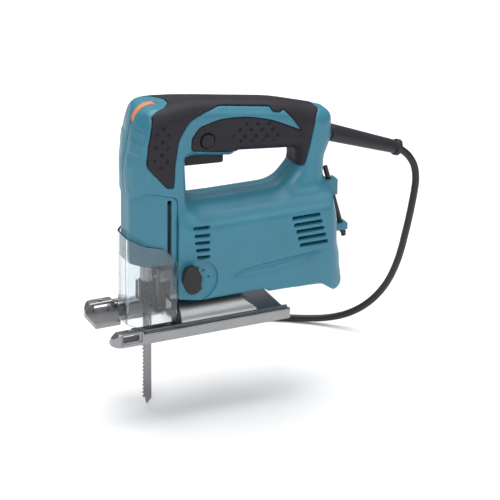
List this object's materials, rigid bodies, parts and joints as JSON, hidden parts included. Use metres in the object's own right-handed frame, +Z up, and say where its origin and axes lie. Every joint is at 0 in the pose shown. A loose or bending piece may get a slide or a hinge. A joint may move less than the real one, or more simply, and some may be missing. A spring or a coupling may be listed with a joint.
{
  "type": "jigsaw",
  "caption": "Corded orbital jigsaw with a closed D-handle, soft grip, clear sliding guard, tilting sole, blade, stored hex key and coiled mains lead.",
  "frame": {"origin": "where the blade's line crosses the underside of the sole, between the sole's two sides", "axes": "+X towards the rear of the tool, +Y to the operator's right, +Z up along the blade's stroke"},
  "size_m": [0.3003, 0.2491, 0.2742],
  "materials": {
    "teal_housing": "satin moulded plastic, fine spark texture",
    "soft_grip": "matt soft-touch rubber with dimples",
    "black_plastic": "plain matt black plastic",
    "cord_rubber": "smooth matt rubber",
    "clear_plastic": "clear moulded plastic, polished",
    "cast_metal": "die-cast, lightly shot-blasted",
    "sole_steel": "pressed steel, satin plated",
    "ground_steel": "ground bright steel",
    "black_steel": "black-oxide steel",
    "screw_steel": "zinc-plated steel",
    "copper": "enamelled copper wire",
    "bronze": "turned bronze and brass",
    "carbon": "pressed carbon",
    "orange_plastic": "plain orange plastic",
    "circuit_board": "lacquered board with parts on it"
  },
  "bodies": {
    "housing": {"housing_left": "teal_housing", "housing_right": "teal_housing", "grip_left": "soft_grip", "grip_right": "soft_grip", "gear_housing": "cast_metal", "front_cover": "teal_housing", "sole_bolt": "black_steel", "plunger_bushes": "bronze", "fork_pin": "ground_steel", "front_bearing": "ground_steel", "rear_bearing": "ground_steel", "field_core": "black_steel", "field_coils": "copper", "brush_holders": "bronze", "carbon_brushes": "carbon", "brush_springs": "screw_steel", "gear_shaft": "ground_steel", "switch_body": "black_plastic", "trigger_spring": "screw_steel", "control_board": "circuit_board", "wrench_clip": "teal_housing", "housing_screws": "screw_steel", "cord_guard": "cord_rubber", "cord_clamp": "black_plastic", "clamp_screws": "screw_steel", "cord": "cord_rubber", "cord_coil": "cord_rubber", "coil_tie": "black_plastic", "plug_body": "black_plastic", "plug_pins": "bronze", "trigger_pin": "ground_steel"},
    "dust_cover": {"dust_cover": "clear_plastic"},
    "saddle": {"bevel_clamp": "cast_metal"},
    "sole": {"sole": "sole_steel", "arch_cap": "black_plastic"},
    "plunger": {"plunger": "ground_steel", "blade_holder": "black_steel", "holder_bolt": "black_steel", "blade": "ground_steel"},
    "roller_fork": {"roller_fork": "black_steel", "roller_pin": "ground_steel"},
    "roller": {"roller": "ground_steel"},
    "armature": {"armature_shaft": "ground_steel", "armature_core": "black_steel", "armature_windings": "copper", "commutator": "copper", "fan": "black_plastic"},
    "crank": {"crank_gear": "ground_steel", "crank_pin": "ground_steel"},
    "trigger": {"trigger": "soft_grip"},
    "lock_button": {"lock_button": "soft_grip"},
    "orbit_lever": {"orbit_lever": "black_plastic", "orbit_shaft": "ground_steel"},
    "speed_dial": {"speed_dial": "orange_plastic"},
    "hex_wrench": {"hex_wrench": "black_steel"}
  },
  "joints": [
    {"name": "bevel_tilt", "type": "hinge", "parent": "housing", "child": "saddle", "pos_m": [0.053, 0, 0], "axis": [1, 0, 0], "range_deg": [0, 45]},
    {"name": "sole_slide", "type": "slide", "parent": "saddle", "child": "sole", "axis": [1, 0, 0], "range_m": [0, 0.015]},
    {"name": "dust_cover_lift", "type": "slide", "parent": "housing", "child": "dust_cover", "axis": [0, 0, 1], "range_m": [0, 0.037]},
    {"name": "plunger_stroke", "type": "slide", "parent": "housing", "child": "plunger", "axis": [0, 0, 1], "range_m": [0, 0.018]},
    {"name": "roller_fork_swing", "type": "hinge", "parent": "housing", "child": "roller_fork", "pos_m": [0.012, 0, 0.0445], "axis": [0, -1, 0], "range_deg": [0, 2.5]},
    {"name": "roller_spin", "type": "hinge", "parent": "roller_fork", "child": "roller", "pos_m": [0.0086, 0, 0.014], "axis": [0, 1, 0], "continuous": true},
    {"name": "armature_spin", "type": "hinge", "parent": "housing", "child": "armature", "pos_m": [0.085, 0, 0.065], "axis": [1, 0, 0], "continuous": true},
    {"name": "crank_spin", "type": "hinge", "parent": "housing", "child": "crank", "pos_m": [0.023, 0, 0.0874], "axis": [1, 0, 0], "continuous": true},
    {"name": "trigger_pull", "type": "hinge", "parent": "housing", "child": "trigger", "pos_m": [0.031, 0, 0.1535], "axis": [0, -1, 0], "range_deg": [0, 8], "stiffness_Nm_per_rad": 1, "springref_deg": -4.01, "deforming": ["trigger_spring"]},
    {"name": "lock_press", "type": "slide", "parent": "housing", "child": "lock_button", "axis": [0, 1, 0], "range_m": [0, 0.0025], "stiffness_N_per_m": 800, "springref_m": -0.002},
    {"name": "orbit_select", "type": "hinge", "parent": "housing", "child": "orbit_lever", "pos_m": [0.027, -0.02, 0.0485], "axis": [0, 1, 0], "range_deg": [0, 90]},
    {"name": "speed_set", "type": "hinge", "parent": "housing", "child": "speed_dial", "pos_m": [0.0019, 0, 0.182], "axis": [0, 1, 0], "range_deg": [-120, 120]},
    {"name": "wrench_out", "type": "slide", "parent": "housing", "child": "hex_wrench", "axis": [0.2857, 0, -0.9583], "range_m": [0, 0.06]}
  ],
  "couplings": [
    {"joint": "crank_spin", "follows": "armature_spin", "ratio": -0.12},
    {"joint": "dust_cover_lift", "follows": "bevel_tilt", "m_per_rad": 0.0471}
  ]
}
